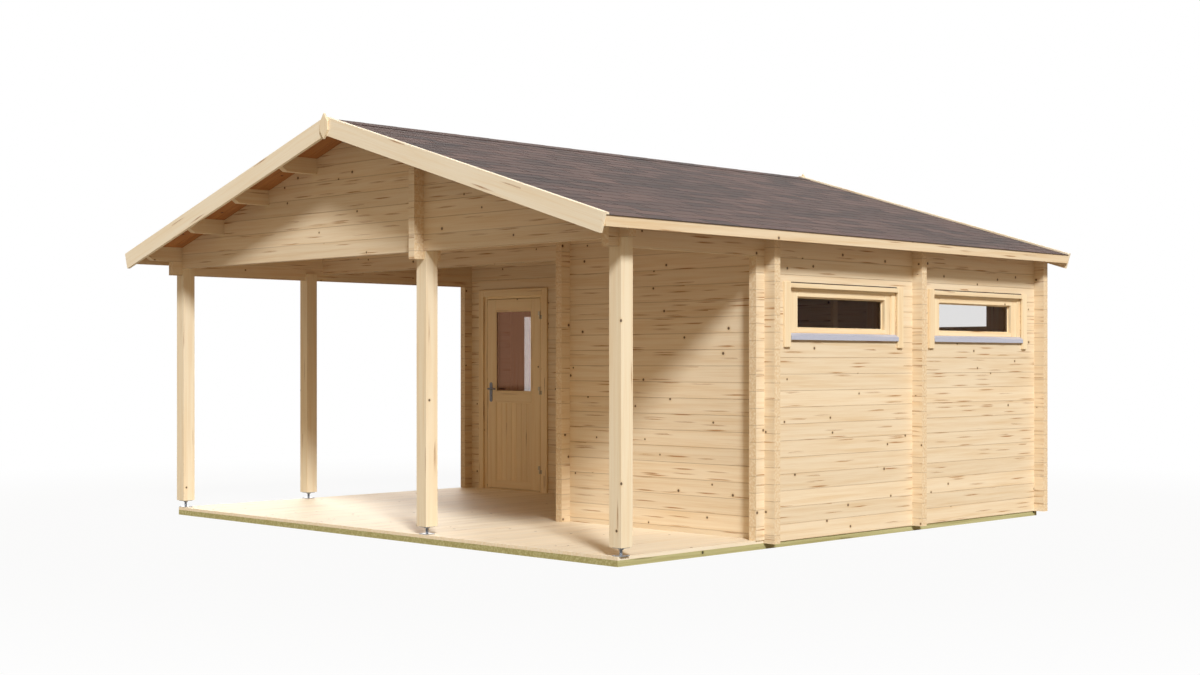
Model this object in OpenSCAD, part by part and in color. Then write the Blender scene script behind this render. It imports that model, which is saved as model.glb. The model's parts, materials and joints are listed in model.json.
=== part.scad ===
// Log sauna cabin with an L-shaped covered terrace in front.
// X runs to the right, Y runs from the front gable to the back, Z is up, all in millimetres.
// The modules are written with Y = 0 at the outer face of the front gable and Z = 0 under the
// foundation; placed() then moves them so that the origin is the middle of the cabin's outline.

/* [Logs] */
// Thickness of a wall log
log_t = 70; // [44:1:90]
// Height of one course of logs, rounded so that whole courses fill the walls
course_h = 130; // [100:1:160]
// Length of a log end that stands out past a corner
log_end = 100; // [60:5:160]
// Depth of the bevel where two logs meet
log_bevel = 2.5; // [2:0.5:8]

/* [Plan] */
// Width of the cabin between the outer faces of its side walls
house_w = 5800; // [4800:10:7000]
// From the front gable to the front room's front wall
terrace_d = 1610; // [1340:10:2400]
// From the front room's front wall to the partition
front_room_d = 1984; // [1650:10:2600]
// From the partition to the rear wall
rear_room_d = 1993; // [1650:10:2800]

/* [Foundation and floors] */
// Height of the treated foundation beams
found_h = 45; // [40:1:95]
// Width of a foundation beam
found_w = 70; // [45:1:95]
// How far the foundation stays back from the outer faces of the walls
found_back = 10; // [0:1:20]
// Thickness of the floor boards
floor_t = 26; // [18:1:36]
// Largest clear space between two floor joists
joist_space = 500; // [350:10:600]

/* [Wall heights] */
// Height of the logs under the side beams
wall_h = 2210; // [2210:10:2700]
// Height of the wall plates at the outer face
plate_h = 108.5; // [80:0.5:130]

/* [Posts] */
// Side of a square terrace post
post_w = 118; // [100:1:140]
// Space between the terrace floor and the end of a post
post_lift = 64; // [50:1:90]
// From the front of the back post to the front room's front wall
back_post_out = 206; // [120:1:400]
// Side of a square foot plate
foot_plate_w = 90; // [70:1:95]
// Thickness of a foot plate
foot_plate_t = 6; // [4:1:10]
// Diameter of the threaded stem of a foot
foot_stem_d = 24; // [16:1:30]
// Diameter across the corners of the nut on the stem
foot_nut_d = 42; // [34:1:50]

/* [Roof] */
// Slope of the roof in degrees
roof_pitch = 17; // [12:1:22]
// Height of a purlin on its centre line
purlin_h = 120; // [90:1:150]
// Thickness of the roof boards
roof_board_t = 19; // [15:1:28]
// Thickness of the shingles
roofing_t = 5; // [3:0.5:10]
// From the side wall to the outer face of the eave board
eave_out = 250; // [180:5:400]
// Thickness of an eave board
eave_board_t = 25; // [18:1:28]
// Height of the outer face of an eave board
eave_board_h = 75; // [60:1:110]
// From the front gable to the back of the front barge boards
front_out = 382; // [250:1:600]
// From the rear wall to the inner face of the rear barge boards
rear_out = 115; // [105:1:400]
// Thickness of a barge board
barge_t = 28; // [20:1:34]
// Depth of a barge board
barge_d = 145; // [120:1:180]
// Height of the cap strip on a barge board
cap_h = 15; // [10:1:22]
// How far the cap strip lies over the shingles
cap_over = 22; // [15:1:40]
// How far a barge board reaches past the eave board
barge_past = 10; // [5:1:25]
// Width of a ridge board
finial_w = 100; // [80:1:130]
// Height of a ridge board with its two points
finial_h = 209; // [180:1:240]
// Height of the upper point of a ridge board above the barge boards
finial_rise = 26; // [15:1:40]
// Thickness of a ridge board
finial_t = 18; // [12:1:25]

/* [Windows] */
// Width of the glass of the low windows
low_glass_w = 1178; // [900:1:1250]
// Height of the glass of the low windows
low_glass_h = 250; // [200:1:400]
// Width of the glass of the tall window
tall_glass_w = 510; // [400:1:700]
// Height of the glass of the tall window
tall_glass_h = 1000; // [800:1:1200]
// Top of the glass in the side windows
glass_top_z = 1957; // [1850:1:1980]
// From the right wall to the middle of the rear window
rear_window_in = 1030; // [950:10:1500]
// Width of a sash stile
stile_w = 85; // [60:1:100]
// Height of the top rail of a sash
top_rail_h = 50; // [40:1:80]
// Height of the bottom rail of a sash
bottom_rail_h = 36; // [30:1:80]
// Width of a window frame board
frame_w = 56; // [40:1:70]
// Height of the frame under and over a sash
frame_h = 40; // [30:1:50]
// How far a window frame stays back from the outer face of the wall
frame_back = 12; // [4:1:18]
// Thickness of a sash
sash_t = 58; // [48:1:66]
// How far a sash stays back from the outer face of the wall
sash_back = 20; // [12:1:24]
// Thickness of the glazing
glass_t = 16; // [12:1:20]
// Width of the boards round a window
casing_w = 75; // [60:1:90]
// Height of the board over a window
casing_head_h = 46; // [40:1:80]
// Thickness of a casing board
casing_t = 22; // [15:1:26]
// How far the upright casing boards run below the sill
casing_drop = 58; // [30:1:90]
// Height of the metal sill
sill_h = 55; // [40:1:70]
// Thickness of the metal of the sill
sill_t = 3; // [2:0.5:5]

/* [Entrance door] */
// Width of the door leaf
leaf_w = 830; // [720:1:930]
// Height of the door leaf
leaf_h = 2023; // [1880:1:2050]
// Thickness of the door leaf
leaf_t = 42; // [38:1:50]
// From the left wall to the boards round the door
door_in = 136; // [60:0.5:400]
// Clearance all round the leaf
door_gap = 5; // [5:0.5:7]
// Height of the threshold above the foundation
threshold_h = 37; // [32:1:45]
// Least height of the frame's head over the leaf
head_min = 50; // [40:1:60]
// Width of a door frame board
jamb_w = 49; // [40:1:60]
// How far the stop behind the leaf covers its edge
stop_over = 12; // [10:1:18]
// Width of the boards round the door
door_casing_w = 75; // [65:1:90]
// Thickness of the boards round the door
door_casing_t = 20; // [15:1:24]
// Height of the frame's head that shows under the board over the door
door_casing_over = 26; // [15:1:40]
// Width of the glass in the door
door_glass_w = 561; // [420:1:600]
// Height of the glass in the door
door_glass_h = 867; // [700:1:950]
// Width of the rail over the glass
door_top_rail = 123; // [100:1:150]
// Width of the rail under the glass
door_mid_rail = 107; // [90:1:140]
// Width of the rail at the foot of the leaf
door_foot_rail = 75; // [70:1:140]
// Depth of the panel under the face of the leaf
panel_sink = 8; // [5:1:12]
// Diameter of a hinge barrel
barrel_d = 14; // [12:1:18]
// Height of one half of a hinge barrel
barrel_h = 40; // [30:1:55]
// Diameter of a hinge pin
pin_d = 8; // [6:0.5:9]
// Clearance round a hinge pin
pin_gap = 0.3; // [0.2:0.05:0.5]
// Thickness of a hinge plate
hinge_plate_t = 2.5; // [2:0.5:4]
// Width of a hinge plate
hinge_plate_w = 30; // [24:1:36]
// Height of the door handle above the foot of the leaf
handle_up = 1063; // [950:1:1120]
// From the free edge of the leaf to the handle's spindle
handle_in = 60; // [50:1:70]
// Length of the lever
lever_l = 125; // [105:1:140]
// Diameter of the lever
lever_d = 18; // [14:1:22]
// From the leaf to the middle of the lever
lever_out = 50; // [42:1:60]
// Diameter of the lever's spindle
spindle_d = 10; // [8:1:12]
// Clearance round the spindle
spindle_gap = 0.3; // [0.2:0.05:0.5]
// Width of the lock plate
lock_plate_w = 44; // [38:1:50]
// Height of the lock plate
lock_plate_h = 210; // [180:1:240]
// Thickness of the lock plate
lock_plate_t = 4; // [3:0.5:6]
// Distance of the keyhole below the spindle
keyhole_down = 72; // [60:1:92]

/* [Inner doorway] */
// Clear width of the doorway to the front room
inner_door_w = 700; // [600:10:800]
// From the right wall to the clear doorway
inner_door_in = 70; // [60:1:300]
// Thickness of the lining boards
lining_t = 25; // [18:1:30]
// Height of the lining's head
lining_head_h = 75; // [40:1:90]

/* [Hidden] */

// How far a cutting shape runs past what it cuts
past = 1;
// Faces on a round piece
$fn = 48;

// Plan: the front face of each wall that runs from side to side
gable_y = 0;
room_y = terrace_d;
partition_y = room_y + front_room_d;
rear_y = partition_y + rear_room_d;
rear_face_y = rear_y + log_t;
half_w = house_w / 2;
inner_w = half_w - log_t;
// Purlins stand at equal steps from the ridge to the wall plate, and the step wall is under the first
purlin_step = (half_w - log_t / 2) / 4;
step_x = purlin_step;

// Heights: side walls start a whole course on the foundation, cross walls half a course
course = wall_h / round(wall_h / course_h);
floor_z = found_h + floor_t;
beam_z = found_h + wall_h;
beam_top_z = beam_z + course;
gable_z = beam_z + course / 2;
gable_log_top_z = gable_z + course;
side_start_z = found_h;
cross_start_z = found_h - course / 2;

// Roof: heights measured straight up from the top of the purlins
roof_tan = tan(roof_pitch);
roof_cos = cos(roof_pitch);
// Clearance between two pieces that meet on the slope
slope_gap = 0.2;
eave_x = half_w + eave_out;
ridge_under_z = beam_top_z + plate_h + half_w * roof_tan;
boards_top_up = slope_gap + roof_board_t / roof_cos;
roofing_low_up = boards_top_up + slope_gap;
roofing_top_up = roofing_low_up + roofing_t / roof_cos;
cap_low_up = roofing_top_up + slope_gap;
barge_top_up = cap_low_up + cap_h;
barge_down = barge_d / roof_cos - barge_top_up;
barge_x = eave_x + barge_past;
ridge_barge_z = ridge_under_z + barge_top_up;
roof_front_y = gable_y - front_out;
roof_rear_y = rear_face_y + rear_out;
front_end_y = roof_front_y - barge_t - finial_t;
rear_end_y = roof_rear_y + barge_t + finial_t;
function roof_z(x) = ridge_under_z - abs(x) * roof_tan;

// Windows: [x, y, turn, glass width, glass height, top of the glass]
front_window_y = (room_y + log_t + partition_y) / 2;
rear_window_y = (partition_y + log_t + rear_y) / 2;
WINDOWS = [
    [half_w, front_window_y, 90, low_glass_w, low_glass_h, glass_top_z],
    [half_w, rear_window_y, 90, low_glass_w, low_glass_h, glass_top_z],
    [-half_w, rear_window_y, -90, tall_glass_w, tall_glass_h, glass_top_z],
    [inner_w - rear_window_in, rear_face_y, 180, low_glass_w, low_glass_h, glass_top_z + course / 2]
];
function sash_w(w) = w[3] + 2 * stile_w;
function sash_bottom(w) = w[5] - w[4] - bottom_rail_h;
function sash_top(w) = w[5] + top_rail_h;
function hole_w(w) = sash_w(w) + 2 * frame_w;
function casing_inner_w(w) = hole_w(w) - 2 * casing_lap;
casing_lap = 6;
glass_back = sash_back + sash_t - glass_t;

// Entrance door: the hole in the logs, up to a joint between courses, and the leaf in it
leaf_z = found_h + threshold_h + door_gap;
door_open_top = leaf_z + leaf_h + door_gap;
over_door_z = cross_start_z + ceil((door_open_top + head_min - cross_start_z) / course) * course;
door_hole_left_x = -inner_w + door_in + door_casing_w - casing_lap;
leaf_left_x = door_hole_left_x + jamb_w + door_gap;
leaf_right_x = leaf_left_x + leaf_w;
leaf_y = partition_y;
door_hole_right_x = leaf_right_x + door_gap + jamb_w;
hinge_x = leaf_right_x + door_gap / 2;
hinge_back = barrel_d / 2 + 2;
hinge_y = leaf_y - hinge_back;
hinge_zs = [leaf_z + 180, leaf_z + leaf_h / 2, leaf_z + leaf_h - 220];
stile_side = (leaf_w - door_glass_w) / 2;
door_glass_z = leaf_z + leaf_h - door_top_rail - door_glass_h;
panel_top_z = door_glass_z - door_mid_rail;
door_glass_t = 24;
spindle_x = leaf_left_x + handle_in;
spindle_z = leaf_z + handle_up;
lock_pocket = spindle_d + 2 * spindle_gap;
keyhole_d = 12;

// Inner doorway
inner_hole_right_x = inner_w - inner_door_in + lining_t;
inner_hole_left_x = inner_hole_right_x - inner_door_w - 2 * lining_t;

// Moves a piece so that the origin is under the middle of the cabin's outline
module placed() translate([0, -(front_end_y + rear_end_y) / 2, 0]) children();

// Outline of a log wall cut across, from z0 to z1, with a bevel at each joint above start_z
function joints(z0, z1, start_z) = [
    for (k = [0 : ceil((z1 - start_z) / course)])
        let (z = start_z + k * course)
            if (z > z0 + 2 * log_bevel && z < z1 - 2 * log_bevel) z
];
function log_outline(z0, z1, start_z) = let (js = joints(z0, z1, start_z)) concat(
    [[0, z0]],
    [for (z = js) each [[0, z - log_bevel], [log_bevel, z], [0, z + log_bevel]]],
    [[0, z1], [log_t, z1]],
    [for (k = [len(js) - 1 : -1 : 0]) each [
        [log_t, js[k] + log_bevel], [log_t - log_bevel, js[k]], [log_t, js[k] - log_bevel]]],
    [[log_t, z0]]
);

// A log wall that runs from side to side, with its front face at y
module cross_logs(x0, x1, y, z0, z1)
    translate([x0, y, 0]) rotate([90, 0, 90])
        linear_extrude(x1 - x0) polygon(log_outline(z0, z1, cross_start_z));

// A log wall that runs from front to back, with its left face at x
module side_logs(x, y0, y1, z0, z1)
    translate([x, y1, 0]) rotate([90, 0, 0])
        linear_extrude(y1 - y0) polygon(log_outline(z0, z1, side_start_z));

// A bar whose outline across is given as [x, z] points, from y0 to y1
module bar(points, y0, y1)
    translate([0, y1, 0]) rotate([90, 0, 0]) linear_extrude(y1 - y0) polygon(points);

// Everything under the roof boards, between two depths
module under_roof(y0, y1)
    bar([[-eave_x, 0], [eave_x, 0], [eave_x, roof_z(eave_x)], [0, ridge_under_z],
         [-eave_x, roof_z(eave_x)]], y0, y1);

// Left to right mirror image
module mirrored(flip) mirror([flip ? 1 : 0, 0, 0]) children();

// ---- Foundation and floors ----

module foundation_frame() placed() color("#b5b078") {
    out = half_w - found_back;
    long = rear_face_y - found_back;
    clear = long - 2 * found_w;
    bays = ceil((clear + found_w) / (joist_space + found_w));
    pitch = (clear + found_w) / bays;
    for (x = [-out, -found_w / 2, out - found_w])
        translate([x, 0, 0]) cube([found_w, long, found_h]);
    for (k = [0 : bays])
        translate([-out, k * pitch, 0]) cube([2 * out, found_w, found_h]);
}

module terrace_floor() placed() color("#dcc094") {
    out = half_w - found_back;
    inner_x = step_x - log_t / 2;
    translate([-out, 0, found_h]) cube([2 * out, room_y, floor_t]);
    translate([-out, 0, found_h]) cube([out + inner_x, partition_y, floor_t]);
}

module room_floors() placed() color("#d8bb8a") {
    room_x = step_x + log_t / 2;
    translate([room_x, room_y + log_t, found_h])
        cube([inner_w - room_x, front_room_d - log_t, floor_t]);
    translate([-inner_w, partition_y + log_t, found_h])
        cube([2 * inner_w, rear_room_d - log_t, floor_t]);
}

// ---- Windows ----

// Stands at a window: x along the wall, y inwards from its outer face
module at_window(w) translate([w[0], w[1], 0]) rotate([0, 0, w[2]]) children();

// An upright board ring in a window's own frame
module ring(outer_w, z0, z1, inner_w, hole_z0, hole_z1, y, t)
    difference() {
        translate([-outer_w / 2, y, z0]) cube([outer_w, t, z1 - z0]);
        translate([-inner_w / 2, y - past, hole_z0]) cube([inner_w, t + 2 * past, hole_z1 - hole_z0]);
    }

module window_hole(w)
    at_window(w) translate([-hole_w(w) / 2, -past, sash_bottom(w) - frame_h])
        cube([hole_w(w), log_t + 2 * past, sash_top(w) - sash_bottom(w) + 2 * frame_h]);

// Frame with the boards round it: two uprights and a head outside, a full ring inside
module window_frame(w) at_window(w) {
    z0 = sash_bottom(w);
    z1 = sash_top(w);
    open_w = casing_inner_w(w);
    ring(hole_w(w), z0 - frame_h, z1 + frame_h, sash_w(w), z0, z1, frame_back, log_t - frame_back);
    ring(open_w + 2 * casing_w, z0 - casing_w, z1 + casing_w, sash_w(w), z0, z1, log_t, casing_t);
    for (side = [-1, 1])
        translate([side * (open_w + casing_w) / 2 - casing_w / 2, -casing_t, z0 - sill_h - casing_drop])
            cube([casing_w, casing_t, z1 - z0 + frame_h + sill_h + casing_drop + casing_head_h / 2]);
    translate([-open_w / 2, -casing_t, z1 + frame_h - casing_head_h / 2])
        cube([open_w, casing_t, casing_head_h]);
}

module window_frames() placed() color("#e3cda0")
    for (w = WINDOWS) window_frame(w);

module window_sashes() placed() color("#e3cda0")
    for (w = WINDOWS) at_window(w)
        ring(sash_w(w), sash_bottom(w), sash_top(w), w[3], w[5] - w[4], w[5], sash_back, sash_t);

module window_glass() placed() color("#4a3a33", 0.5)
    for (w = WINDOWS) at_window(w)
        translate([-w[3] / 2, glass_back, w[5] - w[4]]) cube([w[3], glass_t, w[4]]);

// Metal sill: a sheet that slopes out from the frame and turns down in front of the wall
module window_sills() placed() color("#98a0b0")
    for (w = WINDOWS) at_window(w) {
        long = casing_inner_w(w);
        top = sash_bottom(w);
        knee = top - sill_h * 0.4;
        lip = casing_t + sill_t;
        translate([-long / 2, 0, 0]) rotate([90, 0, 90]) linear_extrude(long)
            polygon([[frame_back, top], [-lip, knee], [-lip, top - sill_h],
                     [-lip + sill_t, top - sill_h], [-lip + sill_t, knee - sill_t],
                     [frame_back, top - sill_t]]);
    }

// ---- Walls ----

module right_wall() placed() color("#e6d2a4") difference() {
    union() {
        side_logs(inner_w, room_y - log_end, room_y, floor_z, beam_z);
        side_logs(inner_w, room_y + log_t, partition_y, found_h, beam_top_z);
        side_logs(inner_w, partition_y + log_t, rear_y, found_h, beam_top_z);
        side_logs(inner_w, rear_face_y, rear_face_y + log_end, found_h, beam_top_z);
    }
    window_hole(WINDOWS[0]);
    window_hole(WINDOWS[1]);
}

module left_wall() placed() color("#e6d2a4") difference() {
    union() {
        side_logs(-half_w, partition_y - log_end, partition_y, floor_z, beam_z);
        side_logs(-half_w, partition_y + log_t, rear_y, found_h, beam_top_z);
        side_logs(-half_w, rear_face_y, rear_face_y + log_end, found_h, beam_top_z);
    }
    window_hole(WINDOWS[2]);
}

module rear_wall() placed() color("#e6d2a4") difference() {
    cross_logs(-half_w - log_end, half_w + log_end, rear_y, found_h, gable_z);
    window_hole(WINDOWS[3]);
}

// The front room's front wall, with its log ends over the terrace floor at the left
module front_room_wall() placed() color("#e6d2a4") {
    wall_x = step_x - log_t / 2;
    cross_logs(wall_x, half_w + log_end, room_y, found_h, gable_z);
    cross_logs(wall_x - log_end, wall_x, room_y, floor_z, gable_z);
}

// The wall beside the terrace's recess, up to the purlin over it, with log ends before and behind
module step_wall() placed() color("#dcc293") {
    wall_x = step_x - log_t / 2;
    top_z = roof_z(step_x) - purlin_h;
    side_logs(wall_x, room_y - log_end, room_y, floor_z, top_z);
    side_logs(wall_x, room_y + log_t, partition_y, found_h, top_z);
    side_logs(wall_x, partition_y + log_t, partition_y + log_t + log_end, floor_z, top_z);
}

module door_wall_left() placed() color("#cfae7c")
    cross_logs(-half_w - log_end, door_hole_left_x, partition_y, found_h, over_door_z);

module door_wall_middle() placed() color("#cfae7c")
    cross_logs(door_hole_right_x, inner_hole_left_x, partition_y, found_h, over_door_z);

module door_wall_right() placed() color("#cfae7c")
    cross_logs(inner_hole_right_x, half_w + log_end, partition_y, found_h, over_door_z);

// ---- Gables and beams ----

// Outline of a purlin across: bevelled on top to the roof, level underneath
module purlin_bar(x, grow, y0, y1) {
    side = log_t / 2;
    bottom = roof_z(x) - purlin_h;
    bar([[x - side, bottom], [x + side, bottom], [x + side, roof_z(x + side) + grow],
         [x, roof_z(x) + grow], [x - side, roof_z(x - side) + grow]], y0, y1);
}

// A gable: one course of whole logs with their ends, and cut logs up to the roof, round the purlins
module gable(y, bottom_z) difference() {
    union() {
        cross_logs(-half_w - log_end, half_w + log_end, y, bottom_z, gable_log_top_z);
        intersection() {
            cross_logs(-inner_w, inner_w, y, gable_log_top_z, ridge_under_z);
            under_roof(y, y + log_t);
        }
    }
    for (k = [-3 : 3]) purlin_bar(k * purlin_step, past, y - past, y + log_t + past);
}

// The front gable, with the short crossed logs that stiffen it and sit on the middle post
module front_gable() placed() color("#e6d5aa") {
    gable(gable_y, gable_z);
    side_logs(step_x - log_t / 2, -log_end, 0, beam_z, roof_z(step_x) - purlin_h);
    side_logs(step_x - log_t / 2, log_t, log_t + log_end, beam_z, roof_z(step_x) - purlin_h);
    translate([step_x - log_t / 2, 0, beam_z]) cube([log_t, log_t, gable_z - beam_z]);
}

module middle_gable() placed() color("#cfae7c") gable(room_y, gable_z);

module partition_gable() placed() color("#cfae7c") gable(partition_y, over_door_z);

module rear_gable() placed() color("#e6d5aa") gable(rear_y, gable_z);

// A beam over the terrace, notched where the logs of a gable cross it
module side_beam(x, y0, y1, crossings) difference() {
    side_logs(x, y0, y1, beam_z, beam_top_z);
    for (y = crossings)
        translate([x - past, y, gable_z]) cube([log_t + 2 * past, log_t, course]);
}

module side_beam_right() placed() color("#e6d2a4")
    side_beam(inner_w, -log_end, room_y, [gable_y]);

module side_beam_left() placed() color("#e6d2a4")
    side_beam(-half_w, -log_end, partition_y, [gable_y, room_y]);

// ---- Roof ----

// Cuts the lower corner off both ends of a purlin
module cut_tips(x, bottom) {
    tip_l = 80;
    tip_h = 55;
    for (end = [[roof_front_y, 1], [roof_rear_y, -1]])
        translate([x, end[0], bottom]) rotate([90, 0, 90]) linear_extrude(log_t + 2 * past)
            polygon([[-end[1] * past, -past], [end[1] * tip_l, -past],
                     [end[1] * tip_l, 0], [0, tip_h], [-end[1] * past, tip_h]]);
}

module purlin(k) difference() {
    x = k * purlin_step;
    purlin_bar(x, 0, roof_front_y, roof_rear_y);
    cut_tips(x - log_t / 2 - past, roof_z(x) - purlin_h);
}

// The top log of a side wall, from barge board to barge board, notched over the cross walls
module wall_plate() difference() {
    bar([[inner_w, beam_top_z], [half_w, beam_top_z], [half_w, roof_z(half_w)],
         [inner_w, roof_z(inner_w)]], roof_front_y, roof_rear_y);
    for (y = [gable_y, room_y, partition_y, rear_y])
        translate([inner_w - past, y, beam_top_z - past])
            cube([log_t + 2 * past, log_t, gable_log_top_z - beam_top_z + past]);
    cut_tips(inner_w - past, beam_top_z);
}

module ridge_purlin() placed() color("#c59a63") purlin(0);

module purlins(flip) placed() color("#c59a63") mirrored(flip) {
    for (k = [1 : 3]) purlin(k);
    wall_plate();
}
module purlins_right() purlins(false);
module purlins_left() purlins(true);

// A layer on the right slope, from x0 to x1 and between two heights over the purlins
module slope_bar(x0, x1, low_up, top_up, y0, y1)
    bar([[x0, roof_z(x0) + low_up], [x1, roof_z(x1) + low_up],
         [x1, roof_z(x1) + top_up], [x0, roof_z(x0) + top_up]], y0, y1);

// Boards of one slope, cut plumb at the ridge and behind the eave board
module roof_boards(flip) placed() color("#c08c55") mirrored(flip) {
    slope_bar(0, eave_x - eave_board_t, slope_gap, boards_top_up, roof_front_y, roof_rear_y);
}
module roof_boards_right() roof_boards(false);
module roof_boards_left() roof_boards(true);

// Shingles of one slope, with a small drip past the eave board
module roofing(flip) placed() color("#5f4a49") mirrored(flip) {
    slope_bar(0, barge_x - 2, roofing_low_up, roofing_top_up, roof_front_y, roof_rear_y);
}
module roofing_right() roofing(false);
module roofing_left() roofing(true);

module eave_boards() placed() color("#e6d5aa") for (flip = [false, true]) mirrored(flip) {
    inner = eave_x - eave_board_t;
    top = roof_z(eave_x) + boards_top_up;
    bar([[inner, top - eave_board_h], [eave_x, top - eave_board_h], [eave_x, top],
         [inner, roof_z(inner) + boards_top_up]], roof_front_y, roof_rear_y);
}

// Outline of a barge board on the right slope, cut square at its foot
function barge_outline(joint) = let (foot = barge_x - barge_d * sin(roof_pitch)) [
    [joint, roof_z(joint) + barge_top_up], [barge_x, roof_z(barge_x) + barge_top_up],
    [foot, roof_z(foot) - barge_down], [joint, roof_z(joint) - barge_down]
];
// Half of the open joint between two barge boards at the ridge
barge_joint = 0.5;

// Two barge boards that meet at the ridge, each with its cap strip over the edge of the shingles
module barge_boards(y, cap_y) placed() color("#eadab2")
    for (flip = [false, true]) mirrored(flip) {
        bar(barge_outline(barge_joint), y, y + barge_t);
        slope_bar(barge_joint, barge_x, cap_low_up, barge_top_up, cap_y, cap_y + cap_over);
    }
module front_barge_boards() barge_boards(roof_front_y - barge_t, roof_front_y);
module rear_barge_boards() barge_boards(roof_rear_y, roof_rear_y - cap_over);

// Pointed boards over the joints of the barge boards
module ridge_finials() placed() color("#eadab2") {
    top = ridge_barge_z + finial_rise;
    side = finial_w / 2;
    shoulder = finial_h / 3;
    for (y = [front_end_y, rear_end_y - finial_t])
        bar([[0, top], [side, top - shoulder], [side, top - finial_h + shoulder],
             [0, top - finial_h], [-side, top - finial_h + shoulder], [-side, top - shoulder]],
            y, y + finial_t);
}

// ---- Terrace posts ----

POSTS = [
    [-half_w + log_t / 2, 0], [step_x, 0], [half_w - log_t / 2, 0],
    [-half_w + log_t / 2, room_y - back_post_out]
];

// A post with a slot in its head for the beam or log that crosses it
module post(p) placed() color("#e8d6a8") difference() {
    translate([p[0] - post_w / 2, p[1], floor_z + post_lift])
        cube([post_w, post_w, gable_z - floor_z - post_lift]);
    translate([p[0] - log_t / 2, p[1] - past, beam_z])
        cube([log_t, post_w + 2 * past, gable_z - beam_z + past]);
}
module post_front_left() post(POSTS[0]);
module post_front_middle() post(POSTS[1]);
module post_front_right() post(POSTS[2]);
module post_back_left() post(POSTS[3]);

// Adjustable steel feet: a plate on the floor, a threaded stem with a nut, a plate under the post
module post_feet() placed() color("#8a8a8a") for (p = POSTS)
    translate([p[0], p[1] + post_w / 2, floor_z]) {
        translate([-foot_plate_w / 2, -foot_plate_w / 2, 0])
            cube([foot_plate_w, foot_plate_w, foot_plate_t]);
        cylinder(d = foot_stem_d, h = post_lift - foot_plate_t / 2);
        translate([0, 0, post_lift - 3 * foot_plate_t])
            cylinder(d = foot_nut_d, h = 2.5 * foot_plate_t, $fn = 6);
        translate([-foot_plate_w / 2, -foot_plate_w / 2, post_lift - foot_plate_t])
            cube([foot_plate_w, foot_plate_w, foot_plate_t]);
    }

// ---- Entrance door ----

// Frame with stops and threshold, and the boards round it on both faces of the wall
module door_frame() placed() color("#c9a36b") {
    left = door_hole_left_x;
    wide = door_hole_right_x - door_hole_left_x;
    stop_y = leaf_y + leaf_t + door_gap;
    stop_side = jamb_w + door_gap + stop_over;
    open_left = leaf_left_x - door_gap;
    open_w = leaf_w + 2 * door_gap;
    threshold_z = found_h + threshold_h;
    difference() {
        translate([left, leaf_y, found_h]) cube([wide, log_t, over_door_z - found_h]);
        translate([open_left, leaf_y - past, threshold_z])
            cube([open_w, stop_y - leaf_y + past, door_open_top - threshold_z]);
        translate([left + stop_side, leaf_y - past, threshold_z])
            cube([wide - 2 * stop_side, log_t + 2 * past,
                  door_open_top - door_gap - stop_over - threshold_z]);
    }
    out = door_casing_w - casing_lap;
    casing_top = door_open_top + door_casing_over + door_casing_w;
    for (y = [leaf_y - door_casing_t, leaf_y + log_t]) difference() {
        translate([left - out, y, floor_z])
            cube([wide + 2 * out, door_casing_t, casing_top - floor_z]);
        translate([left + casing_lap, y - past, floor_z - past])
            cube([wide - 2 * casing_lap, door_casing_t + 2 * past,
                  casing_top - door_casing_w - floor_z + past]);
    }
}

// Lining of the doorway between the rooms, with its sill level with the floors
module inner_door_lining() placed() color("#cfae7c") {
    left = inner_hole_left_x;
    wide = inner_hole_right_x - inner_hole_left_x;
    head = over_door_z - lining_head_h;
    difference() {
        translate([left, partition_y, found_h]) cube([wide, log_t, over_door_z - found_h]);
        translate([left + lining_t, partition_y - past, floor_z])
            cube([wide - 2 * lining_t, log_t + 2 * past, head - floor_z]);
    }
}

// Leaf with a glazed upper half and a sunk panel, bored for the handle and the key
module door_leaf() placed() color("#c9a36b") difference() {
    panel_z = leaf_z + door_foot_rail;
    translate([leaf_left_x, leaf_y, leaf_z]) cube([leaf_w, leaf_t, leaf_h]);
    translate([leaf_left_x + stile_side, leaf_y - past, door_glass_z])
        cube([door_glass_w, leaf_t + 2 * past, door_glass_h]);
    for (y = [leaf_y - past, leaf_y + leaf_t - panel_sink])
        translate([leaf_left_x + stile_side, y, panel_z])
            cube([door_glass_w, panel_sink + past, panel_top_z - panel_z]);
    translate([spindle_x, leaf_y - past, spindle_z]) rotate([-90, 0, 0])
        cylinder(d = lock_pocket, h = leaf_t + 2 * past);
    translate([spindle_x, leaf_y - past, spindle_z - keyhole_down]) rotate([-90, 0, 0])
        cylinder(d = keyhole_d, h = leaf_t + 2 * past);
}

module door_glass() placed() color("#6b4a35", 0.5)
    translate([leaf_left_x + stile_side, leaf_y + (leaf_t - door_glass_t) / 2, door_glass_z])
        cube([door_glass_w, door_glass_t, door_glass_h]);

// Half of a hinge on the frame: a plate, the lower barrel and the pin that the door hangs on
module door_hinge_plates() placed() color("#8d8a86") for (z = hinge_zs) {
    pin_up = barrel_h - 6;
    translate([hinge_x, hinge_y, z]) {
        cylinder(d = barrel_d, h = barrel_h);
        cylinder(d = pin_d, h = barrel_h + pin_up);
        translate([0, hinge_back - hinge_plate_t, 0])
            cube([hinge_plate_w, hinge_plate_t, barrel_h]);
        cube([hinge_plate_t, hinge_back, barrel_h]);
    }
}

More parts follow.
